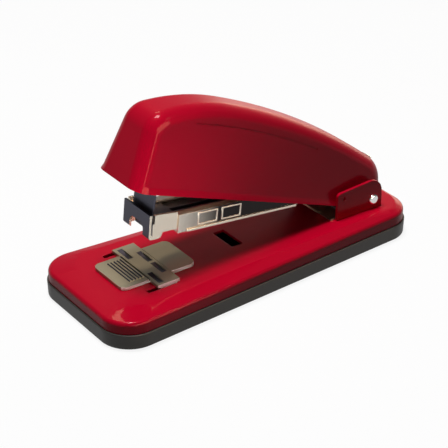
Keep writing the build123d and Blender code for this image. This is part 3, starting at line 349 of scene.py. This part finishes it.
class Bench:
    """The modelling steps that the pieces share, and their limits, with angles in radians."""

    merge_mm: float = 0.002
    flat_angle: float = 0.003
    sharp_angle: float = 0.6
    smooth_angle: float = 0.7
    broad_face_weight: int = 80

    @staticmethod
    def only(piece: bpy.types.Object) -> None:
        """Select one object, make it active, and deselect the rest.

        Args:
            piece: the object.
        """
        bpy.ops.object.select_all(action="DESELECT")
        piece.select_set(True)
        bpy.context.view_layer.objects.active = piece

    @staticmethod
    def copy_of(node: str) -> bpy.types.Object:
        """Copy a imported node's mesh into a new piece, with its loose triangles merged into faces.

        Args:
            node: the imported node.

        Returns:
            The new piece, at the origin.
        """
        mesh = frame["nodes"][node].data.copy()
        mesh.materials.clear()
        piece = bpy.data.objects.new(f"dressed_{node}", mesh)
        bpy.context.scene.collection.objects.link(piece)
        Bench.only(piece)
        bpy.ops.object.mode_set(mode="EDIT")
        bpy.ops.mesh.select_all(action="SELECT")
        bpy.ops.mesh.remove_doubles(threshold=Bench.merge_mm * MM)
        bpy.ops.mesh.dissolve_limited(angle_limit=Bench.flat_angle)
        bpy.ops.object.mode_set(mode="OBJECT")
        return piece

    @staticmethod
    def round_edges(piece: bpy.types.Object, width_mm: float, segments: int) -> None:
        """Round a piece's sharp edges.

        Args:
            piece: the piece.
            width_mm: the width of the rounding.
            segments: the facets across the rounding.
        """
        Bench.only(piece)
        bevel = piece.modifiers.new("round", "BEVEL")
        bevel.width = width_mm * MM
        bevel.segments = segments
        bevel.limit_method = "ANGLE"
        bevel.angle_limit = Bench.sharp_angle
        bpy.ops.object.modifier_apply(modifier=bevel.name)

    @staticmethod
    def smooth(piece: bpy.types.Object) -> None:
        """Shade a piece smoothly, with its broad faces kept flat.

        Args:
            piece: the piece.
        """
        Bench.only(piece)
        bpy.ops.object.shade_smooth_by_angle(angle=Bench.smooth_angle)
        even = piece.modifiers.new("even", "WEIGHTED_NORMAL")
        even.keep_sharp = True
        even.weight = Bench.broad_face_weight
        bpy.ops.object.modifier_apply(modifier=even.name)


@dataclass
class SubAssembly:
    """Pieces that are built and dressed together."""

    pieces: dict[str, bpy.types.Object] = field(default_factory=dict, init=False)

    def copy(self, node: str, round_mm: float = 0.0, segments: int = 2) -> None:
        """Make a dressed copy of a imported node, with its edges rounded.

        Args:
            node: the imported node.
            round_mm: the width of the rounding, or zero for a piece with no sharp edges.
            segments: the facets across the rounding.
        """
        piece = Bench.copy_of(node)
        if round_mm:
            Bench.round_edges(piece, round_mm, segments)
        Bench.smooth(piece)
        self.pieces[node] = piece

    def wear(self, node: str, finish: Finish, body: Body, slot: Slot) -> None:
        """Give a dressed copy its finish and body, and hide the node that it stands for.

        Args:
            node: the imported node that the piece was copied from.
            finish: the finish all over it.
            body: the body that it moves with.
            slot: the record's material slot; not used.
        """
        piece = self.pieces[node]
        piece.data.materials.append(finish.material())
        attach(piece, body.value)
        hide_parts(node)
        log.info("%s: %d faces in %s", piece.name, len(piece.data.polygons), finish.name)

    def patch(self, node: str, finish: Finish, chosen: FaceTest) -> None:
        """Give some faces of a dressed copy another finish.

        Args:
            node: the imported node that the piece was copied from.
            finish: the other finish.
            chosen: a test on a face's middle and normal.
        """
        mesh = self.pieces[node].data
        mesh.materials.append(finish.material())
        patched = [face for face in mesh.polygons if chosen(face.center, face.normal)]
        for face in patched:
            face.material_index = len(mesh.materials) - 1
        log.info("%s: %d faces in %s", node, len(patched), finish.name)

    @staticmethod
    def paint(node: str, finish: Finish) -> None:
        """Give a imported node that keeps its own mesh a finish.

        Args:
            node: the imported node.
            finish: the finish all over it.
        """
        mesh = frame["nodes"][node].data
        mesh.materials.clear()
        mesh.materials.append(finish.material())
        log.info("%s: own mesh in %s", node, finish.name)


@dataclass
class Magazine(SubAssembly):
    """The steel channel with its head, rail, pusher, latch and springs.

    Each spring's value is the share of its length that it keeps when it is fully pressed.
    """

    channel_round_mm: float = 0.16
    head_round_mm: float = 0.22
    seat_round_mm: float = 0.15
    latch_round_mm: float = 0.20
    latch_segments: int = 3
    rail_round_mm: float = 0.15
    head_wall_mm: float = 1.8
    cheek_turn: float = 0.75
    bead_proud_mm: float = 0.5
    plate_depth_mm: float = 0.1
    plate_turn: float = 0.9
    coils: tuple[str, ...] = ("handle_spring", "pusher_spring", "latch_spring")
    pressed_spring: float = 0.54
    pushed_spring: float = 0.15
    latched_spring: float = 0.58

    def rearward(self) -> Vector:
        """Return the direction along the magazine towards the hinge."""
        slide = next(joint for joint in frame["joints"] if joint["name"] == "pusher_slide")
        return Vector(slide["axis"]).normalized()

    def build(self) -> None:
        """Copy and round the magazine's pieces."""
        self.copy("magazine_channel", self.channel_round_mm)
        self.copy("nose_head", self.head_round_mm)
        self.copy("staple_rail", self.rail_round_mm)
        self.copy("spring_seat", self.seat_round_mm)
        self.copy("pusher", self.rail_round_mm)
        self.copy("release_latch", self.latch_round_mm, self.latch_segments)
        for coil in self.coils:
            self.copy(coil)

    def dress(self) -> None:
        """Finish the magazine's pieces, and give its springs their own meshes."""
        self.wear("magazine_channel", NICKEL, Body.MAGAZINE, Slot.NICKEL)
        self.wear("nose_head", NICKEL, Body.MAGAZINE, Slot.NICKEL)
        # The staple rail and the pusher are plain steel painted dark as the shade inside the channel
        self.wear("staple_rail", BLUED_AND_PAINTED_SHADE, Body.MAGAZINE, Slot.PLAIN)
        self.wear("spring_seat", GROUND, Body.MAGAZINE, Slot.NICKEL)
        self.wear("pusher", BLUED_AND_PAINTED_SHADE, Body.PUSHER, Slot.PLAIN)
        self.wear("release_latch", NICKEL, Body.LATCH, Slot.NICKEL)
        for coil in self.coils:
            self.wear(coil, SPRING, Body.MAGAZINE, Slot.SPRING)
        for node in ("guide_rod", "rear_block"):
            self.paint(node, GROUND)
        self.dress_head()
        self.dress_side_plates()
        self.dress_springs()

    def dress_head(self) -> None:
        """Paint the head's front wall dark blue-grey as painted shade; the blade runs behind it."""
        rearward = self.rearward()
        points = [vertex.co.dot(rearward) for vertex in self.pieces["nose_head"].data.vertices]
        wall = min(points) + self.head_wall_mm * MM

        def is_front(middle: Vector, normal: Vector) -> bool:
            """Tell whether a face belongs to the front wall and not to a cheek."""
            return middle.dot(rearward) < wall and abs(normal.y) < self.cheek_turn

        # The head's front wall is painted dark as shade
        self.patch("nose_head", BLUED_AND_PAINTED_SHADE, is_front)

    def dress_side_plates(self) -> None:
        """Paint a dark reflection on the side plates, darker towards the rear, and leave their beads
        and stamped frames bright.
        """
        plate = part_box("magazine_channel")[1][1] - self.bead_proud_mm * MM

        def is_plate(middle: Vector, normal: Vector) -> bool:
            """Tell whether a face lies flat on a side plate."""
            level = abs(abs(middle.y) - plate) < self.plate_depth_mm * MM
            return level and abs(normal.y) > self.plate_turn

        # The flat faces of the side plates get a painted dark reflection that deepens towards the
        # rear
        self.patch("magazine_channel", NICKEL_PAINTED_DARK_REFLECTION, is_plate)

    def dress_springs(self) -> None:
        """Give each coil its own mesh."""
        rearward = self.rearward()
        upward = Vector((-rearward.z, 0, rearward.x))
        self.flatten("handle_spring", "handle_pivot", -upward, self.pressed_spring)
        self.flatten("pusher_spring", "pusher_slide", rearward, self.pushed_spring)
        self.flatten("latch_spring", "latch_slide", -rearward, self.latched_spring)

    def flatten(self, node: str, joint: str, towards: Vector, keep: float) -> None:
        """Give a coil its own mesh.

        Args:
            node: the spring's node.
            joint: the joint that presses it; not used.
            towards: the direction of the end that stays; not used.
            keep: the share of its length that it keeps; not used.
        """
        piece = self.pieces[node]
        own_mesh(piece)


@dataclass
class Base(SubAssembly):
    """The sole, the enamelled plate, the hinge bracket with its pin, and the lift spring."""

    sole_round_mm: float = 0.35
    plate_round_mm: float = 0.30
    ear_round_mm: float = 0.30
    leaf_round_mm: float = 0.12
    foot_round_mm: float = 0.30
    rivet_round_mm: float = 0.40
    rivet_segments: int = 3
    washer_round_mm: float = 0.15
    leaf_pressed: float = 0.48

    def build(self) -> None:
        """Copy and round the base's pieces."""
        self.copy("rubber_feet", self.foot_round_mm)
        self.copy("sole_tray", self.sole_round_mm)
        self.copy("base_plate", self.plate_round_mm)
        self.copy("hinge_bracket", self.ear_round_mm)
        self.copy("hinge_pin")
        self.copy("pin_washers", self.washer_round_mm)
        self.copy("bracket_rivets", self.rivet_round_mm, self.rivet_segments)
        self.copy("lift_spring", self.leaf_round_mm)

    def dress(self) -> None:
        """Finish the base's pieces, and give the lift spring its own mesh."""
        self.wear("rubber_feet", RUBBER, Body.BASE, Slot.RUBBER)
        self.wear("sole_tray", SOLE, Body.BASE, Slot.SOLE)
        self.wear("base_plate", ENAMEL, Body.BASE, Slot.PAINT)
        self.wear("hinge_bracket", ENAMEL, Body.BASE, Slot.PAINT)
        self.wear("hinge_pin", CHROME, Body.BASE, Slot.CHROME)
        self.wear("pin_washers", GROUND, Body.BASE, Slot.PLAIN)
        self.wear("bracket_rivets", GROUND, Body.BASE, Slot.PLAIN)
        self.wear("lift_spring", SPRING, Body.BASE, Slot.SPRING)
        leaf = self.pieces["lift_spring"]
        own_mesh(leaf)


@dataclass
class Anvil(SubAssembly):
    """The sliding anvil, with its edges painted white as a highlight, its groove floors and rib
    fronts painted dark as shade, and its keeper.
    """

    round_mm: float = 0.24
    plate_top_mm: float = 12.4
    wing_top_mm: float = 13.75
    groove_lip_mm: float = 0.10
    edge_margin_mm: float = 0.60
    edge_depth_mm: float = 1.50
    edge_inset_mm: float = 8.5
    tab_length_mm: float = 11.0
    rib_foot_mm: float = 0.05
    sideways: float = 0.40
    flattest: float = 0.90

    def build(self) -> None:
        """Copy and round the anvil."""
        self.copy("anvil_plate", self.round_mm)

    def dress(self) -> None:
        """Finish the anvil, with a painted highlight on its edges and painted shade in its grooves
        and on its rib fronts.
        """
        self.wear("anvil_plate", ZINC, Body.ANVIL, Slot.ANVIL)
        # The anvil's long edges are painted near white as a highlight
        self.patch("anvil_plate", SHEARED_AND_PAINTED_HIGHLIGHT, self.is_edge)
        # The groove floors are painted dark as shade
        self.patch("anvil_plate", BLUED_AND_PAINTED_SHADE, self.is_groove)
        # The front halves of the ribs are painted dark as their shadowed side
        self.patch("anvil_plate", BLUED_AND_PAINTED_SHADE, self.is_rib)
        self.paint("anvil_keeper", SPRING)

    def is_edge(self, middle: Vector, normal: Vector) -> bool:
        """Tell whether a face is an upright or rounded edge along the anvil's two long sides.

        Args:
            middle: the face's middle.
            normal: the face's normal.

        Returns:
            True for such an edge.
        """
        high = middle.z > (self.plate_top_mm - self.edge_depth_mm) * MM
        shows = high and abs(middle.y) > self.edge_inset_mm * MM
        return shows and abs(normal.y) > self.sideways and abs(normal.z) < self.flattest

    def is_rib(self, middle: Vector, normal: Vector) -> bool:
        """Tell whether a face belongs to the front half of a rib on the thumb tab.

        Args:
            middle: the face's middle.
            normal: the face's normal.

        Returns:
            True for the front half of a rib.
        """
        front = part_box("anvil_plate")[0][0]
        on_tab = middle.x < front + self.tab_length_mm * MM
        return on_tab and normal.x < 0 and middle.z > (self.wing_top_mm + self.rib_foot_mm) * MM

    def is_groove(self, middle: Vector, normal: Vector) -> bool:
        """Tell whether a face lies in a groove or in the fold, below the wing's top.

        Args:
            middle: the face's middle.
            normal: the face's normal.

        Returns:
            True for a groove's floor.
        """
        low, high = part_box("anvil_plate")
        floor = self.plate_top_mm * MM < middle.z < (self.wing_top_mm - self.groove_lip_mm) * MM
        margin = self.edge_margin_mm * MM
        inside = low[1] + margin < middle.y < high[1] - margin
        return floor and inside and normal.z > self.flattest


@dataclass
class Handle(SubAssembly):
    """The drawn red cover, the steel lever inside it, and the driver blade."""

    cover_round_mm: float = 0.12
    lever_round_mm: float = 0.12
    blade_round_mm: float = 0.10
    rivet_round_mm: float = 0.25

    def build(self) -> None:
        """Copy and round the handle's pieces."""
        self.copy("handle_cover", self.cover_round_mm)
        self.copy("driver_lever", self.lever_round_mm)
        self.copy("driver_blade", self.blade_round_mm)
        self.copy("blade_rivets", self.rivet_round_mm)

    def dress(self) -> None:
        """Finish the handle's pieces."""
        self.wear("handle_cover", ENAMEL, Body.HANDLE, Slot.PAINT)
        self.wear("driver_lever", NICKEL, Body.HANDLE, Slot.NICKEL)
        self.wear("driver_blade", BLUED_AND_PAINTED_SHADE, Body.HANDLE, Slot.PLAIN)
        self.wear("blade_rivets", GROUND, Body.HANDLE, Slot.PLAIN)


@dataclass(frozen=True)
class Softbox:
    """A rectangular soft lamp, in metres and watts, which may show only in reflections."""

    name: str
    place: Place
    target: Place
    width: float
    height: float
    power: float
    tone: str = "#FFFFFF"
    spread_deg: float = 180.0
    mirrored_only: bool = False

    def hang(self) -> None:
        """Hang the lamp so that it faces its target."""
        data = bpy.data.lights.new(self.name, "AREA")
        data.shape = "RECTANGLE"
        data.size = self.width
        data.size_y = self.height
        data.energy = self.power
        data.color = linear(self.tone)[:3]
        data.spread = radians(self.spread_deg)
        lamp = bpy.data.objects.new(self.name, data)
        lamp.visible_camera = False
        lamp.visible_diffuse = not self.mirrored_only
        lamp.location = self.place
        aim = Vector(self.target) - Vector(self.place)
        lamp.rotation_euler = aim.to_track_quat("-Z", "Y").to_euler()
        bpy.context.scene.collection.objects.link(lamp)


# Lights the top from above, as the only strong lamp
OVERHEAD = Softbox(
    "overhead", place=(-0.05, 0.05, 0.95), target=(0.0, 0.0, 0.04), width=0.26, height=0.26, power=8.5
)
# Lights the near side only towards the nose, so that it darkens to the rear
CORNER_STRIP = Softbox(
    "corner_strip", place=(-0.075, -0.085, 0.035), target=(-0.037, -0.012, 0.060),
    width=0.03, height=0.05, power=0.0084, spread_deg=70.0,
)
# Gives the cover's back its long cream sheen
REAR_CARD = Softbox(
    "rear_card", place=(1.05, 0.58, 0.18), target=(0.0, 0.0, 0.06),
    width=0.80, height=0.36, power=3.0, tone="#FFEACC",
)
# Gives the cover's brow and front corner their pale glint
BROW_SPARK = Softbox(
    "brow_spark", place=(0.12, -0.80, 0.33), target=(-0.045, -0.012, 0.07),
    width=0.80, height=0.40, power=9.0, tone="#FFDCBC", mirrored_only=True,
)
# Gives the base plate's front corner its pale glint
CORNER_SPARK = Softbox(
    "corner_spark", place=(0.22, 0.53, 0.80), target=(-0.06, -0.02, 0.01),
    width=0.24, height=0.16, power=1.5, tone="#FFDCBC", mirrored_only=True,
)
# Gives the base plate's near edge its thin bright line
EDGE_SPARK = Softbox(
    "edge_spark", place=(0.43, -0.44, 0.66), target=(-0.04, 0.0, 0.01),
    width=0.12, height=0.12, power=0.40, tone="#FFE4C8", mirrored_only=True,
)


@dataclass
class Studio:
    """The camera, the lamps, the dim room and the pale floor.

    The floor and the room are white to the camera, paler or darker to a ray that metal mirrors, and
    dim to the light that falls on the stapler.
    """

    eye: Place = (-0.30259, -0.41755, 0.30476)
    forward: Place = (0.5055, 0.7120, -0.4875)
    lens_mm: float = 128.57
    sensor_mm: float = 36.0
    nearest: float = 0.01
    floor_size: float = 6.0
    floor_grey: float = 0.08
    floor_pale: float = 0.90
    floor_shown: float = 0.88
    floor_mirrored: float = 0.68
    room_light: float = 0.03
    room_shown: float = 0.94
    room_mirrored: float = 0.22
    lamps: tuple[Softbox, ...] = (
        OVERHEAD, CORNER_STRIP, REAR_CARD, BROW_SPARK, CORNER_SPARK, EDGE_SPARK
    )

    def build(self) -> None:
        """Set up the whole studio."""
        bpy.context.scene.view_settings.view_transform = "Standard"
        self.build_camera()
        self.build_room()
        self.build_floor()
        for lamp in self.lamps:
            lamp.hang()

    def build_camera(self) -> None:
        """Stand the camera where the photograph was taken from."""
        forward = Vector(self.forward).normalized()
        right = forward.cross(Vector((0, 0, 1))).normalized()
        turn = Matrix((right, right.cross(forward), -forward)).transposed().to_4x4()
        data = bpy.data.cameras.new("camera")
        data.lens = self.lens_mm
        data.sensor_width = self.sensor_mm
        data.clip_start = self.nearest
        camera = bpy.data.objects.new("camera", data)
        camera.matrix_world = Matrix.Translation(self.eye) @ turn
        bpy.context.scene.collection.objects.link(camera)
        bpy.context.scene.camera = camera

    @staticmethod
    def white_share(
        tree: bpy.types.NodeTree, shown: float, mirrored: float
    ) -> bpy.types.NodeSocket:
        """Work out how white a ray finds the background, by the kind of ray.

        Args:
            tree: the node tree of the floor or the room.
            shown: the share for the camera's own rays.
            mirrored: the share for rays that metal or glass sends on.

        Returns:
            The share, as a socket.
        """
        rays = add_node(tree, "ShaderNodeLightPath").outputs
        passed_on = add_node(
            tree,
            "ShaderNodeMath",
            {"operation": "MAXIMUM"},
            {0: rays["Is Glossy Ray"], 1: rays["Is Transmission Ray"]},
        )
        seen = add_node(
            tree,
            "ShaderNodeMath",
            {"operation": "MULTIPLY", 1: shown},
            {0: rays["Is Camera Ray"]},
        )
        total = add_node(
            tree,
            "ShaderNodeMath",
            {"operation": "MULTIPLY_ADD", 1: mirrored},
            {0: passed_on.outputs["Value"], 2: seen.outputs["Value"]},
        )
        return total.outputs["Value"]

    def build_room(self) -> None:
        """Fill the room with a dim even light, white where it is seen."""
        world = bpy.data.worlds.new("room")
        world.use_nodes = True
        bpy.context.scene.world = world
        tree = world.node_tree
        tree.nodes.clear()
        dim = add_node(
            tree, "ShaderNodeBackground", {"Color": WHITE, "Strength": self.room_light}
        )
        white = add_node(tree, "ShaderNodeBackground", {"Color": WHITE})
        pick = add_node(
            tree,
            "ShaderNodeMixShader",
            {},
            {
                0: self.white_share(tree, self.room_shown, self.room_mirrored),
                1: dim.outputs["Background"],
                2: white.outputs["Background"],
            },
        )
        add_node(tree, "ShaderNodeOutputWorld", {}, {"Surface": pick.outputs["Shader"]})

    def build_floor(self) -> None:
        """Lay a plain pale floor that keeps the stapler's shadow."""
        bpy.ops.object.select_all(action="DESELECT")
        bpy.ops.mesh.primitive_plane_add(size=self.floor_size, location=(0, 0, 0))
        floor = bpy.context.active_object
        floor.name = "floor"
        floor.data.materials.append(self.white_card())

    def white_card(self) -> bpy.types.Material:
        """Make the floor's material.

        Returns:
            Matt white card, which glows so far that only a faint shadow shows on it.
        """
        material = bpy.data.materials.new("white_card")
        material.use_nodes = True
        tree = material.node_tree
        tree.nodes.clear()
        seen = add_node(tree, "ShaderNodeLightPath").outputs["Is Camera Ray"]
        grey = add_node(
            tree,
            "ShaderNodeMapRange",
            {"To Min": self.floor_grey, "To Max": self.floor_pale},
            {"Value": seen},
        )
        card = add_node(tree, "ShaderNodeBsdfDiffuse", {}, {"Color": grey.outputs["Result"]})
        white = add_node(tree, "ShaderNodeEmission", {"Color": WHITE})
        pick = add_node(
            tree,
            "ShaderNodeMixShader",
            {},
            {
                0: self.white_share(tree, self.floor_shown, self.floor_mirrored),
                1: card.outputs["BSDF"],
                2: white.outputs["Emission"],
            },
        )
        add_node(tree, "ShaderNodeOutputMaterial", {}, {"Surface": pick.outputs["Shader"]})
        return material


def main() -> None:
    """Build and dress the sub-assemblies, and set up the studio."""
    for assembly in (Base(), Anvil(), Magazine(), Handle()):
        assembly.build()
        assembly.dress()
    Studio().build()


if __name__ == "__main__":
    main()
